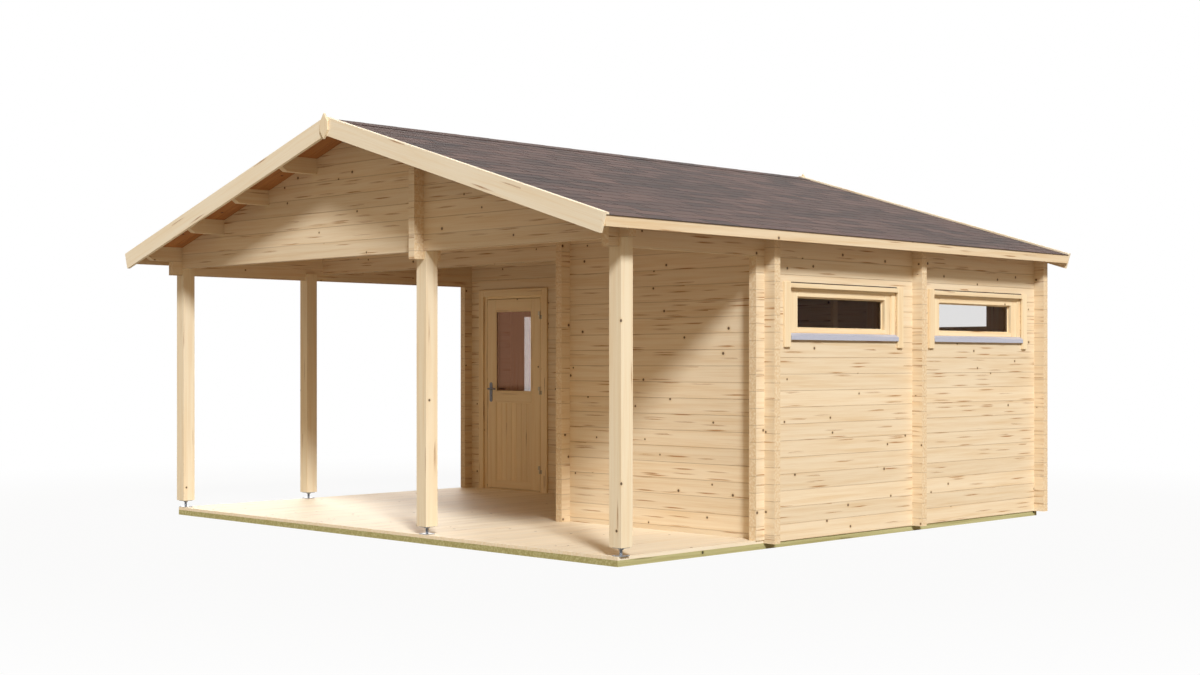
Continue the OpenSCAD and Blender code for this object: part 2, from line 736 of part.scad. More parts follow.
// Half of a hinge on the leaf: a plate and the upper barrel, bored for the pin from below
module door_hinge_knuckles() placed() color("#8d8a86") for (z = hinge_zs) {
    run_gap = 0.5;
    pin_up = barrel_h - 6;
    translate([hinge_x, hinge_y, z + barrel_h + run_gap]) difference() {
        union() {
            cylinder(d = barrel_d, h = barrel_h);
            translate([-hinge_plate_w, hinge_back - hinge_plate_t, 0])
                cube([hinge_plate_w - door_gap / 2, hinge_plate_t, barrel_h]);
            translate([-hinge_plate_t - door_gap / 2, 0, 0])
                cube([hinge_plate_t, hinge_back, barrel_h]);
        }
        translate([0, 0, -past]) cylinder(d = pin_d + 2 * pin_gap, h = pin_up + 2 * past);
    }
}

// Lock plates on both faces of the leaf, each with a hole for the spindle and one for the key
module door_lock_plate() placed() color("#4d4d50")
    for (y = [leaf_y - lock_plate_t, leaf_y + leaf_t]) difference() {
        translate([spindle_x - lock_plate_w / 2, y, spindle_z + lock_plate_h / 3 - lock_plate_h])
            cube([lock_plate_w, lock_plate_t, lock_plate_h]);
        translate([spindle_x, y - past, spindle_z]) rotate([-90, 0, 0])
            cylinder(d = lock_pocket, h = lock_plate_t + 2 * past);
        translate([spindle_x, y - past, spindle_z - keyhole_down]) rotate([-90, 0, 0])
            cylinder(d = keyhole_d, h = lock_plate_t + 2 * past);
    }

// The levers on both faces, joined through the leaf by their spindle
module door_lever() placed() color("#4d4d50") {
    front = leaf_y - lock_plate_t - lever_out;
    back = leaf_y + leaf_t + lock_plate_t + lever_out;
    translate([spindle_x, front, spindle_z]) rotate([-90, 0, 0])
        cylinder(d = spindle_d, h = back - front);
    for (y = [front, back]) translate([spindle_x, y, spindle_z]) {
        rotate([0, 90, 0]) cylinder(d = lever_d, h = lever_l - lever_d / 2);
        sphere(d = lever_d);
        translate([lever_l - lever_d / 2, 0, 0]) sphere(d = lever_d);
    }
}

foundation_frame();
terrace_floor();
room_floors();
right_wall();
left_wall();
rear_wall();
front_room_wall();
step_wall();
door_wall_left();
door_wall_middle();
door_wall_right();
front_gable();
middle_gable();
partition_gable();
rear_gable();
side_beam_right();
side_beam_left();
ridge_purlin();
purlins_right();
purlins_left();
roof_boards_right();
roof_boards_left();
roofing_right();
roofing_left();
eave_boards();
front_barge_boards();
rear_barge_boards();
ridge_finials();
post_front_left();
post_front_middle();
post_front_right();
post_back_left();
post_feet();
window_frames();
window_sashes();
window_glass();
window_sills();
door_frame();
inner_door_lining();
door_leaf();
door_glass();
door_hinge_plates();
door_hinge_knuckles();
door_lock_plate();
door_lever();
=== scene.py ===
import json
import random
from math import cos, pi, radians, sin

import bmesh
import bpy
from mathutils import Matrix, Vector


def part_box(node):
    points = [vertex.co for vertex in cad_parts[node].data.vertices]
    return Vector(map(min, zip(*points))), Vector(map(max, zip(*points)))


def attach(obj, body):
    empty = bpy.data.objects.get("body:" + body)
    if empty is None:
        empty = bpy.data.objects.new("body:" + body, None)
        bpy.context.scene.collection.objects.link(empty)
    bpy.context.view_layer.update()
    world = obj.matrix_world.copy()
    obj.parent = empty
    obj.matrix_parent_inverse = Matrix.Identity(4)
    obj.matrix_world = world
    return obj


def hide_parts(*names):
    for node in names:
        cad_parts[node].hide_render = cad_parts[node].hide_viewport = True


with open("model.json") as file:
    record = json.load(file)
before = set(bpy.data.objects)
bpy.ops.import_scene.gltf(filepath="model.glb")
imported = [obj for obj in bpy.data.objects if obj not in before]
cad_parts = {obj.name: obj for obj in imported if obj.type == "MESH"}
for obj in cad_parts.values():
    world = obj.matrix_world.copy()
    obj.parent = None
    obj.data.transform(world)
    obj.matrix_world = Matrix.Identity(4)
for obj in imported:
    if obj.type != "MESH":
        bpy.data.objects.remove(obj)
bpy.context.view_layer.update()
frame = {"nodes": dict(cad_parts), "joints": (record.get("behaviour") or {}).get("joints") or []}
scene = bpy.context.scene
scene.view_settings.view_transform = "Standard"

# ---- Camera ----
# Stands off the cabin's front right corner at eye height and looks level across the terrace.
camera = bpy.data.objects.new("camera", bpy.data.cameras.new("camera"))
camera.location = (11.148, -11.184, 1.447)
camera.rotation_euler = (radians(90), 0, radians(44.81))
camera.data.sensor_width = 36
camera.data.lens = 50.57
camera.data.shift_y = 0.0198
scene.collection.objects.link(camera)
scene.camera = camera

# ---- Foundation beams ----
# Pressure-treated pine beams lie flat on the ground, long ones under the side walls and
# cross ones under the floors. The treatment leaves them olive green over a rough sawn face.


class Value:
    """A number on its way through the nodes of a finish."""

    def __init__(self, finish, socket):
        self.finish = finish
        self.socket = socket

    def math(self, operation, *others):
        sockets = dict(enumerate((self,) + others))
        node = self.finish.add("ShaderNodeMath", {"operation": operation}, sockets)
        return Value(self.finish, node.outputs[0])

    def __add__(self, other):
        return self.math("ADD", other)

    __radd__ = __add__

    def __sub__(self, other):
        return self.math("SUBTRACT", other)

    def __rsub__(self, other):
        return self * -1 + other

    def __mul__(self, other):
        return self.math("MULTIPLY", other)

    __rmul__ = __mul__

    def __truediv__(self, other):
        return self.math("DIVIDE", other)

    def __rtruediv__(self, other):
        return self.math("POWER", -1) * other

    def __gt__(self, other):
        return self.math("GREATER_THAN", other)

    def between(self, low, high):
        """Rises smoothly from 0 at low to 1 at high."""
        node = self.finish.add(
            "ShaderNodeMapRange",
            {"interpolation_type": "SMOOTHSTEP"},
            {"Value": self, "From Min": low, "From Max": high},
        )
        return Value(self.finish, node.outputs[0])


class Finish:
    """A surface finish: one Principled shader and the nodes that feed it."""

    def __init__(self, name, **sockets):
        self.material = bpy.data.materials.new(name)
        self.material.use_nodes = True
        self.tree = self.material.node_tree
        self.tree.nodes.clear()
        names = {key.replace("_", " "): value for key, value in sockets.items()}
        self.shader = self.add("ShaderNodeBsdfPrincipled", {}, names)
        self.add("ShaderNodeOutputMaterial", {}, {"Surface": self.shader.outputs[0]})

    def feed(self, socket, value):
        if isinstance(value, Value):
            value = value.socket
        if isinstance(value, bpy.types.NodeSocket):
            self.tree.links.new(value, socket)
        else:
            socket.default_value = value

    def add(self, kind, settings, sockets):
        node = self.tree.nodes.new(kind)
        for key, value in settings.items():
            setattr(node, key, value)
        for key, value in sockets.items():
            self.feed(node.inputs[key], value)
        return node

    def place(self):
        """X, Y and Z of the point, in metres."""
        where = self.add("ShaderNodeTexCoord", {}, {})
        parts = self.add("ShaderNodeSeparateXYZ", {}, {0: where.outputs["Object"]})
        return [Value(self, out) for out in parts.outputs]

    def facing(self):
        """X, Y and Z of the direction that the surface faces."""
        where = self.add("ShaderNodeTexCoord", {}, {})
        parts = self.add("ShaderNodeSeparateXYZ", {}, {0: where.outputs["Normal"]})
        return [Value(self, out) for out in parts.outputs]

    def own(self, name):
        """The number that each board or tab of a piece carries."""
        node = self.add("ShaderNodeAttribute", {"attribute_name": name}, {})
        return Value(self, node.outputs["Fac"])

    def point(self, x, y, z=0.0):
        return self.add("ShaderNodeCombineXYZ", {}, {0: x, 1: y, 2: z}).outputs[0]

    def noise(self, point, scale=1.0, detail=4.0, rough=0.55):
        sockets = {"Vector": point, "Scale": scale, "Detail": detail, "Roughness": rough}
        return Value(self, self.add("ShaderNodeTexNoise", {}, sockets).outputs[0])

    def cells(self, x, y):
        """Scattered points: distance to the nearest, and three numbers of its own."""
        settings = {"voronoi_dimensions": "2D"}
        node = self.add("ShaderNodeTexVoronoi", settings, {"Vector": self.point(x, y), "Scale": 1})
        parts = self.add("ShaderNodeSeparateColor", {}, {0: node.outputs["Color"]})
        return Value(self, node.outputs["Distance"]), [Value(self, o) for o in parts.outputs]

    def chance(self, value):
        node = self.add("ShaderNodeTexWhiteNoise", {"noise_dimensions": "1D"}, {"W": value})
        return Value(self, node.outputs["Value"])

    def mix(self, factor, a, b, blend="MIX"):
        settings = {"data_type": "RGBA", "blend_type": blend}
        node = self.add("ShaderNodeMix", settings, {0: factor, 6: a, 7: b})
        return node.outputs[2]

    def bump(self, height, strength, distance):
        sockets = {"Height": height, "Strength": strength, "Distance": distance}
        self.feed(self.shader.inputs["Normal"], self.add("ShaderNodeBump", {}, sockets).outputs[0])


def paint(red, green, blue):
    """A colour given as it looks on a screen, from 0 to 255."""
    return [((part / 255 + 0.055) / 1.055) ** 2.4 for part in (red, green, blue)] + [1]


ROOF = radians(17)
COURSE = 0.13


def wood(name, along, pale, warm, brown, knots=0.3, streaks=0.12, rows=None, rough=0.6):
    """Softwood with its grain along X, Y, Z or the roof's slope. rows is where courses start."""
    f = Finish(name, Roughness=rough)
    x, y, z = f.place()
    if along == "slope":
        out = x.math("ABSOLUTE")
        length = out * cos(ROOF) - z * sin(ROOF)
        across = out * sin(ROOF) + z * cos(ROOF) + y
    else:
        length = {"X": x, "Y": y, "Z": z}[along]
        across = {"X": y + z, "Y": x + z, "Z": x + y}[along]
    own = f.own("board")
    if rows is None:
        tone = own
    else:
        row = (z - rows) / COURSE
        depth = y if along == "X" else x
        tone = f.chance(row.math("FLOOR") + (depth * 0.5).math("ROUND") * 17 + own * 5)
    run = length + tone * 23
    broad = f.noise(f.point(run * 0.9, across * 26), detail=3)
    fine = f.noise(f.point(run * 2.2, across * 170), detail=4, rough=0.65)
    band = (broad * 0.65 + fine * 0.45).between(0.42, 0.82)
    colour = f.mix(band, pale, warm)

    reach, numbers = f.cells(run * 2.9, across * 52)
    mark = (1 - reach.between(0.12, 0.50)) * (numbers[0] > 1 - streaks)
    mark = mark * fine.between(0.42, 0.56)
    colour = f.mix(mark * 0.9, colour, brown)

    knot, numbers = f.cells(run * 3.4, across * 3.4 + tone * 3)
    there = numbers[0] > 1 - knots
    size = numbers[1] * 0.016 + 0.028
    halo = (1 - (knot / size).between(1.1, 2.6)) * there
    heart = (1 - (knot / size).between(0.7, 1.15)) * there
    colour = f.mix(halo * 0.55, colour, warm[:3] + [1])
    colour = f.mix(heart * 0.92, colour, [part * 0.2 for part in brown[:3]] + [1])

    shade = tone * 0.09 + 0.94
    grey = f.add("ShaderNodeCombineColor", {}, {0: shade, 1: shade, 2: shade})
    colour = f.mix(1.0, colour, grey.outputs[0], "MULTIPLY")
    height = fine * 0.5 + broad * 0.3 - heart * 0.4
    if along != "slope":
        end = f.facing()["XYZ".index(along)].math("ABSOLUTE") > 0.75
        rings = f.noise(f.point(x * 55, y * 55, z * 55), detail=3, rough=0.6)
        sawn = f.mix(rings.between(0.30, 0.62), pale, warm)
        colour = f.mix(end * 0.9, colour, sawn)
    if rows is not None:
        edge = (row.math("FRACT") - 0.5).math("ABSOLUTE") * COURSE
        joint = edge.between(COURSE / 2 - 0.005, COURSE / 2 - 0.001)
        colour = f.mix(joint * 0.3, colour, [part * 0.5 for part in brown[:3]] + [1])
    f.feed(f.shader.inputs["Base Color"], colour)
    f.feed(f.shader.inputs["Roughness"], fine * 0.2 + (rough - 0.08))
    f.bump(height, 0.22, 0.0015)
    return f


def clad(finish, *nodes):
    for node in nodes:
        for place in frame["nodes"][node].material_slots:
            place.material = finish.material


treated = dict(pale=paint(196, 190, 138), warm=paint(160, 150, 92), brown=paint(104, 92, 48))
clad(wood("treated_pine", "Y", knots=0.2, rough=0.75, **treated), "foundation_frame")

# ---- Floors ----
# Planed spruce floor boards, 118 mm wide, run from front to back over the cross beams.
# Each is nailed down with a narrow joint to the next and has its long edges eased.
draw = random.Random(5)


def plank(bm, low, high, edge=0.002, turn=None):
    """Adds a board between two corners, with its edges taken off."""
    low, high = Vector(low), Vector(high)
    size = high - low
    tone = draw.random()
    verts = bmesh.ops.create_cube(bm, size=1)["verts"]
    bmesh.ops.scale(bm, vec=size, verts=verts)
    bmesh.ops.translate(bm, vec=(low + high) / 2, verts=verts)
    own = bm.faces.layers.float.get("board") or bm.faces.layers.float.new("board")
    longest = max(range(3), key=lambda axis: size[axis])
    for face in {face for vert in verts for face in vert.link_faces}:
        face[own] = tone
        face.material_index = longest
    if turn is not None:
        bmesh.ops.transform(bm, matrix=turn, verts=verts)
    edges = {line for vert in verts for line in vert.link_edges}
    bmesh.ops.bevel(bm, geom=list(edges), offset=edge, offset_type="OFFSET", segments=1,
                    profile=0.5, affect="EDGES", material=-1)


def piece(name, bm, finishes, body, slot, *nodes):
    """Makes the shape a piece on a body. Boards along X, Y and Z take finishes 0, 1 and 2."""
    mesh = bpy.data.meshes.new(name)
    bm.to_mesh(mesh)
    bm.free()
    for finish in finishes:
        mesh.materials.append(finish.material)
    made = bpy.data.objects.new(name, mesh)
    scene.collection.objects.link(made)
    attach(made, body)
    if nodes:
        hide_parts(*nodes)
    return made


floor_wood = [
    wood("floor_spruce_" + along.lower(), along, paint(246, 232, 206), paint(240, 218, 180),
         paint(168, 118, 66), knots=0.22, streaks=0.05, rough=0.55)
    for along in "XYZ"
]
FLOOR_BOARD = 0.118
FLOOR_JOINT = 0.0008


def floor_boards(bm, x0, x1, y0, y1, z0, z1):
    count = max(1, round((x1 - x0) / FLOOR_BOARD))
    wide = (x1 - x0) / count
    for k in range(count):
        left = x0 + k * wide
        plank(bm, (left + FLOOR_JOINT / 2, y0, z0), (left + wide - FLOOR_JOINT / 2, y1, z1), 0.0008)


low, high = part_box("terrace_floor")
step_low, step_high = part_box("step_wall")
room_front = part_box("front_room_wall")[0].y
bm = bmesh.new()
floor_boards(bm, low.x, step_low.x, low.y, high.y, low.z, high.z)
floor_boards(bm, step_low.x, high.x, low.y, room_front, low.z, high.z)
piece("terrace_floor_boards", bm, floor_wood, "cabin", "floor_boards", "terrace_floor")

low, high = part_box("room_floors")
partition_low, partition_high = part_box("partition_gable")
room_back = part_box("front_room_wall")[1].y
bm = bmesh.new()
floor_boards(bm, step_high.x, high.x, room_back, partition_low.y, low.z, high.z)
floor_boards(bm, low.x, high.x, partition_high.y, high.y, low.z, high.z)
piece("room_floor_boards", bm, floor_wood, "cabin", "floor_boards", "room_floors")

# ---- Log walls ----
# Planed spruce logs, 70 mm thick and 130 mm high, tongued and grooved on top of each other
# with a small bevel at each joint. They cross at the corners and their ends stand out.
SPRUCE = dict(pale=paint(236, 217, 185), warm=paint(222, 192, 148), brown=paint(164, 110, 50),
              knots=0.5, streaks=0.16)
side_start = 0.045
cross_start = side_start - COURSE / 2
logs_back = wood("spruce_logs_front_to_back", "Y", rows=side_start, **SPRUCE)
logs_side = wood("spruce_logs_side_to_side", "X", rows=cross_start, **SPRUCE)
clad(logs_back, "right_wall", "left_wall", "step_wall", "side_beam_right", "side_beam_left")
clad(logs_side, "rear_wall", "front_room_wall", "door_wall_left", "door_wall_middle",
     "door_wall_right", "front_gable", "middle_gable", "partition_gable", "rear_gable")

# ---- Purlins ----
# Seven planed spruce beams and two wall plates carry the roof from gable to gable.
# Their lower corners are cut off in front of the gable.
planed_back = wood("planed_spruce_front_to_back", "Y", knots=0.22, streaks=0.08,
                   pale=paint(236, 216, 182), warm=paint(222, 190, 144), brown=paint(158, 108, 60))
clad(planed_back, "ridge_purlin", "purlins_right", "purlins_left", "eave_boards")

# ---- Roof boards ----
# Spruce boards, 19 mm thick and 96 mm wide, run down the slope on the purlins.
# Tongue and groove holds them together, and a bevel at each joint shows underneath.
# Painted shade: these spruce boards are coloured darker and more orange than the other spruce, as
# the shade under the roof.
roof_wood_painted_shade = wood("roof_spruce", "slope", paint(182, 122, 66), paint(156, 96, 46),
                 paint(134, 84, 42), knots=0.25, streaks=0.08, rough=0.65)
ROOF_BOARD, BOARD_THICK, BOARD_GAP, BOARD_BEVEL = 0.096, 0.019, 0.0008, 0.0032


def on_slope(x, z):
    """Turns a shape laid out along X down the right slope, starting at x and z."""
    return Matrix.Translation((x, 0, z)) @ Matrix.Rotation(ROOF, 4, "Y")


def finish_slope(bm, mirrored):
    if mirrored:
        bmesh.ops.scale(bm, vec=(-1, 1, 1), verts=bm.verts)
        bmesh.ops.recalc_face_normals(bm, faces=bm.faces)
    for face in bm.faces:
        face.material_index = 0


for side, mirrored in (("right", False), ("left", True)):
    low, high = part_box("roof_boards_right")
    ridge_under = high.z - BOARD_THICK / cos(ROOF)
    reach = (high.x - BOARD_THICK * sin(ROOF)) / cos(ROOF)
    count = round((high.y - low.y) / ROOF_BOARD)
    wide = (high.y - low.y) / count
    bm = bmesh.new()
    turn = on_slope(0, ridge_under)
    for k in range(count):
        front = low.y + k * wide
        plank(bm, (0, front + BOARD_GAP / 2, 0),
              (reach, front + wide - BOARD_GAP / 2, BOARD_THICK), BOARD_BEVEL, turn)
    finish_slope(bm, mirrored)
    piece("roof_boarding_" + side, bm, [roof_wood_painted_shade], "cabin", "roof_boards", "roof_boards_" + side)

# ---- Shingles ----
# Bitumen shingles with brown and purple grit lie in courses from the eave up, each tab
# lapping the one below. A row of folded tabs covers the ridge.
shingle = Finish("bitumen_shingle", Roughness=0.9)
x, y, z = shingle.place()
tab = shingle.own("board")
grit = shingle.noise(shingle.point(x * 420, y * 420, z * 420), detail=2)
streak = shingle.noise(shingle.point(x * 34, y * 2.0, z * 3), detail=5, rough=0.7)
patch = shingle.noise(shingle.point(x * 1.1, y * 0.8, z), detail=2)
tone = (tab * 0.30 + streak * 0.95 + patch * 0.15 + grit * 0.20).between(0.45, 1.10)
colour = shingle.mix(tone, paint(28, 19, 20), paint(90, 67, 61))
colour = shingle.mix(grit.between(0.60, 0.72) * 0.3, colour, paint(142, 114, 104))
shingle.feed(shingle.shader.inputs["Base Color"], colour)
shingle.bump(grit, 0.5, 0.001)
EXPOSED = 0.146
TAB_WIDE = 0.333
TAB_THICK = 0.0022
TAB_RISE = 0.0013
TAB_GAP = 0.005
LEAST_TAB = 0.02
SHEET = 0.0014
CAP_IN, CAP_WIDE, CAP_THICK, CAP_GAP, CAP_RISE = 0.024, 0.15, 0.0026, 0.002, 0.0014


def shingle_tab(bm, own, start, stop, front, back, turn):
    """A tab whose lower edge stands off the sheet and whose upper edge lies on it."""
    verts = bmesh.ops.create_cube(bm, size=1)["verts"]
    bmesh.ops.scale(bm, vec=(stop - start, back - front, TAB_THICK), verts=verts)
    middle = ((start + stop) / 2, (front + back) / 2, SHEET + TAB_THICK / 2)
    bmesh.ops.translate(bm, vec=middle, verts=verts)
    outer = [vert for vert in verts if vert.co.x > (start + stop) / 2]
    bmesh.ops.translate(bm, vec=(0, 0, TAB_RISE), verts=outer)
    tone = draw.random()
    for face in {face for vert in verts for face in vert.link_faces}:
        face[own] = tone
    bmesh.ops.transform(bm, matrix=turn, verts=verts)


for side, mirrored in (("right", False), ("left", True)):
    low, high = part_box("roofing_right")
    thick = 0.005
    turn = on_slope(0, high.z - thick / cos(ROOF))
    reach = (high.x - thick * sin(ROOF)) / cos(ROOF)
    bm = bmesh.new()
    own = bm.faces.layers.float.new("board")
    plank(bm, (0, low.y, 0), (reach, high.y, SHEET), 0.0003, turn)
    courses = round(reach / EXPOSED)
    step = reach / courses
    for row in range(courses):
        start, stop = row * step, (row + 1) * step
        front = low.y - draw.random() * TAB_WIDE
        while front < high.y:
            y0 = max(front, low.y) + TAB_GAP / 2
            y1 = min(front + TAB_WIDE, high.y) - TAB_GAP / 2
            if y1 - y0 > LEAST_TAB:
                shingle_tab(bm, own, start, stop, y0, y1, turn)
            front += TAB_WIDE
    finish_slope(bm, mirrored)
    piece("shingles_" + side, bm, [shingle], "cabin", "shingles", "roofing_" + side)

low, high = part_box("roofing_right")
bm = bmesh.new()
own = bm.faces.layers.float.new("board")
cap_front, cap_back = low.y + CAP_IN, high.y - CAP_IN
count = round((cap_back - cap_front) / TAB_WIDE)
step = (cap_back - cap_front) / count
for k in range(count):
    front = cap_front + k * step
    tone = draw.random()
    for flip in (1, -1):
        verts = bmesh.ops.create_cube(bm, size=1)["verts"]
        bmesh.ops.scale(bm, vec=(CAP_WIDE, step - CAP_GAP, CAP_THICK), verts=verts)
        bmesh.ops.translate(bm, vec=(CAP_WIDE / 2, front + step / 2, CAP_RISE), verts=verts)
        back = [vert for vert in verts if vert.co.y > front + step / 2]
        bmesh.ops.translate(bm, vec=(0, 0, CAP_RISE), verts=back)
        for face in {face for vert in verts for face in vert.link_faces}:
            face[own] = tone
        bmesh.ops.transform(bm, matrix=on_slope(0, high.z), verts=verts)
        bmesh.ops.scale(bm, vec=(flip, 1, 1), verts=verts)
bmesh.ops.recalc_face_normals(bm, faces=bm.faces)
piece("ridge_shingles", bm, [shingle], "cabin", "shingles")

# ---- Barge boards and ridge boards ----
# Planed spruce boards nailed to the ends of the purlins, with a cap strip over the edge of
# the shingles. A small board with two points covers their joint at the ridge.
slope_wood = wood("planed_spruce_slope", "slope", knots=0.16, streaks=0.06,
                  pale=paint(250, 238, 212), warm=paint(242, 220, 182), brown=paint(160, 108, 58))
clad(slope_wood, "front_barge_boards", "rear_barge_boards")
upright_wood = wood("planed_spruce_upright", "Z", knots=0.14, streaks=0.05,
                    pale=paint(246, 230, 198), warm=paint(236, 210, 168), brown=paint(160, 108, 58))
clad(upright_wood, "ridge_finials")

# ---- Terrace posts ----
# Square glued spruce posts under the beams and the front gable, slotted at the head for the
# log that crosses them.
clad(upright_wood, "post_front_left", "post_front_middle", "post_front_right", "post_back_left")

# ---- Post feet ----
# Adjustable galvanised feet: a screwed-down plate, a threaded stem, a nut and a head plate.
# They are bought ready made and let the posts down as the logs settle.
steel = Finish("galvanised_steel", Metallic=0.85, Roughness=0.4)
x, y, z = steel.place()
spangle, numbers = steel.cells(x * 160 + z * 110, y * 160 + z * 70)
steel.feed(steel.shader.inputs["Base Color"],
           steel.mix(numbers[0] * 0.6, paint(186, 190, 196), paint(132, 136, 144)))
steel.feed(steel.shader.inputs["Roughness"], numbers[1] * 0.2 + 0.28)
FOOT_PLATE = 0.09
PLATE_THICK = 0.006
STEM, STEM_ROOT, THREADS = 0.024, 0.86, 10
NUT, FOOT_EDGE = 0.042, 0.0012
SCREW, SCREW_TOP, SCREW_HIGH, SCREW_OUT = 0.011, 0.007, 0.003, 0.033


def rod(bm, across, low, high, x, y, sides=24, top=None):
    """An upright rod or cone between two heights."""
    top = across if top is None else top
    made = bmesh.ops.create_cone(bm, cap_ends=True, segments=sides, radius1=across / 2,
                                 radius2=top / 2, depth=high - low)
    bmesh.ops.translate(bm, vec=(x, y, (low + high) / 2), verts=made["verts"])
    return made["verts"]


foot_low, foot_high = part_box("post_feet")
bm = bmesh.new()
for post in ("post_front_left", "post_front_middle", "post_front_right", "post_back_left"):
    low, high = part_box(post)
    x, y = (low.x + high.x) / 2, (low.y + high.y) / 2
    half = FOOT_PLATE / 2
    for z in (foot_low.z, foot_high.z - PLATE_THICK):
        plank(bm, (x - half, y - half, z), (x + half, y + half, z + PLATE_THICK), FOOT_EDGE)
    stem_top = foot_high.z - 3 * PLATE_THICK
    stem_low = foot_low.z + PLATE_THICK
    pitch = (stem_top - stem_low) / THREADS
    for k in range(THREADS):
        z = stem_low + k * pitch
        rod(bm, STEM * STEM_ROOT, z, z + pitch / 2, x, y, 20, STEM)
        rod(bm, STEM, z + pitch / 2, z + pitch, x, y, 20, STEM * STEM_ROOT)
    nut = rod(bm, NUT, stem_top, foot_high.z - PLATE_THICK, x, y, 6)
    edges = {line for vert in nut for line in vert.link_edges}
    bmesh.ops.bevel(bm, geom=list(edges), offset=FOOT_EDGE, offset_type="OFFSET", segments=1,
                    profile=0.5, affect="EDGES", material=-1)
    for sx in (-1, 1):
        for sy in (-1, 1):
            rod(bm, SCREW, stem_low, stem_low + SCREW_HIGH,
                x + sx * SCREW_OUT, y + sy * SCREW_OUT, 10, SCREW_TOP)
for face in bm.faces:
    face.material_index = 0
piece("adjustable_feet", bm, [steel], "cabin", "foot_steel", "post_feet")

# ---- Windows ----
# Each has a spruce frame in the logs with boards round it, a wide sash with double glazing
# held by beads, and a folded metal sill. A dark strip in the settling gap over the head
# is painted shade.
joinery = [
    wood("window_spruce_" + along.lower(), along, paint(244, 224, 186), paint(232, 198, 148),
         paint(160, 108, 58), knots=0.12, streaks=0.04, rough=0.5)
    for along in "XYZ"
]
LOG = 0.07
STILE, TOP_RAIL, BOTTOM_RAIL = 0.085, 0.050, 0.036
FRAME_WIDE, FRAME_HIGH, FRAME_BACK = 0.056, 0.040, 0.012
SASH_BACK, SASH_THICK, GLASS_THICK = 0.020, 0.058, 0.016
CASING_WIDE, CASING_HEAD, CASING_THICK, CASING_DROP = 0.075, 0.046, 0.022, 0.058
CASING_LAP, SILL_HIGH = 0.006, 0.055
SETTLING_GAP, STRIP_THICK, WINDOW_BEAD, BEAD_EDGE = 0.009, 0.006, 0.010, 0.003
CASING_EDGE = 0.0025
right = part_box("right_wall")[1].x
left = -right
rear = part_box("rear_wall")[1].y
front_room_middle = (room_back + partition_low.y) / 2
rear_room_middle = (partition_high.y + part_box("rear_wall")[0].y) / 2
TOP = 1.957
windows = (
    (right, front_room_middle, 90, 1.178, 0.25, TOP),
    (right, rear_room_middle, 90, 1.178, 0.25, TOP),
    (left, rear_room_middle, -90, 0.510, 1.0, TOP),
    (right - LOG - 1.03, rear, 180, 1.178, 0.25, TOP + COURSE / 2),
)


def ring(bm, half, z0, z1, inner, hole0, hole1, y0, y1, edge=0.002):
    """Four boards round an opening, the uprights running past the others."""
    for sign in (-1, 1):
        a, b = sorted((sign * inner, sign * half))
        plank(bm, (a, y0, z0), (b, y1, z1), edge, turn)
    plank(bm, (-inner, y0, hole1), (inner, y1, z1), edge, turn)
    plank(bm, (-inner, y0, z0), (inner, y1, hole0), edge, turn)


def quarter_turned(bm, degrees):
    """Boards along a side wall's X lie along the cabin's Y, so their finish changes."""
    if abs(degrees) == 90:
        swap = {0: 1, 1: 0}
        for face in bm.faces:
            face.material_index = swap.get(face.material_index, face.material_index)


frames, sashes, gaps = bmesh.new(), bmesh.new(), bmesh.new()
for x, y, degrees, wide, tall, top in windows:
    turn = Matrix.Translation((x, y, 0)) @ Matrix.Rotation(radians(degrees), 4, "Z")
    glass0, glass1 = top - tall, top
    sash0, sash1 = glass0 - BOTTOM_RAIL, glass1 + TOP_RAIL
    half_glass = wide / 2
    half_sash = half_glass + STILE
    half_hole = half_sash + FRAME_WIDE
    half_open = half_hole - CASING_LAP
    one = bmesh.new()
    ring(one, half_hole, sash0 - FRAME_HIGH, sash1 + FRAME_HIGH, half_sash, sash0, sash1,
         FRAME_BACK, LOG)
    ring(one, half_open + CASING_WIDE, sash0 - CASING_WIDE, sash1 + CASING_WIDE, half_sash,
         sash0, sash1, LOG, LOG + CASING_THICK)
    head = sash1 + FRAME_HIGH + CASING_HEAD / 2
    for sign in (-1, 1):
        a, b = sorted((sign * half_open, sign * (half_open + CASING_WIDE)))
        plank(one, (a, -CASING_THICK, sash0 - SILL_HIGH - CASING_DROP), (b, 0, head),
              CASING_EDGE, turn)
    plank(one, (-half_open, -CASING_THICK, head - CASING_HEAD),
          (half_open, 0, head - SETTLING_GAP), CASING_EDGE, turn)
    quarter_turned(one, degrees)
    mesh = bpy.data.meshes.new("one")
    one.to_mesh(mesh)
    frames.from_mesh(mesh)
    one.clear()
    ring(one, half_sash, sash0, sash1, half_glass, glass0, glass1, SASH_BACK,
         SASH_BACK + SASH_THICK, BEAD_EDGE)
    outer = SASH_BACK + SASH_THICK - GLASS_THICK
    ring(one, half_glass, glass0, glass1, half_glass - WINDOW_BEAD, glass0 + WINDOW_BEAD,
         glass1 - WINDOW_BEAD, outer - WINDOW_BEAD, outer, BEAD_EDGE)
    quarter_turned(one, degrees)
    one.to_mesh(mesh)
    sashes.from_mesh(mesh)
    one.free()
    bpy.data.meshes.remove(mesh)
    plank(gaps, (-half_open, -STRIP_THICK, head - SETTLING_GAP), (half_open, 0, head),
          0.0005, turn)
piece("window_frames_and_casings", frames, joinery, "cabin", "window_wood", "window_frames")
piece("window_sash_rails", sashes, joinery, "cabin", "window_wood", "window_sashes")

# Painted shade: a dark, mottled strip stands where the settling gap over each window head lies in
# shadow.
gap_shade = Finish("dark_seal", Roughness=0.85)
x, y, z = gap_shade.place()
gap_shade_mottle = gap_shade.noise(gap_shade.point(x * 300, y * 300, z * 300))
gap_shade.feed(gap_shade.shader.inputs["Base Color"], gap_shade.mix(gap_shade_mottle, paint(30, 20, 14), paint(62, 44, 32)))
for face in gaps.faces:
    face.material_index = 0
piece("settling_gap_strips", gaps, [gap_shade], "cabin", "window_wood")

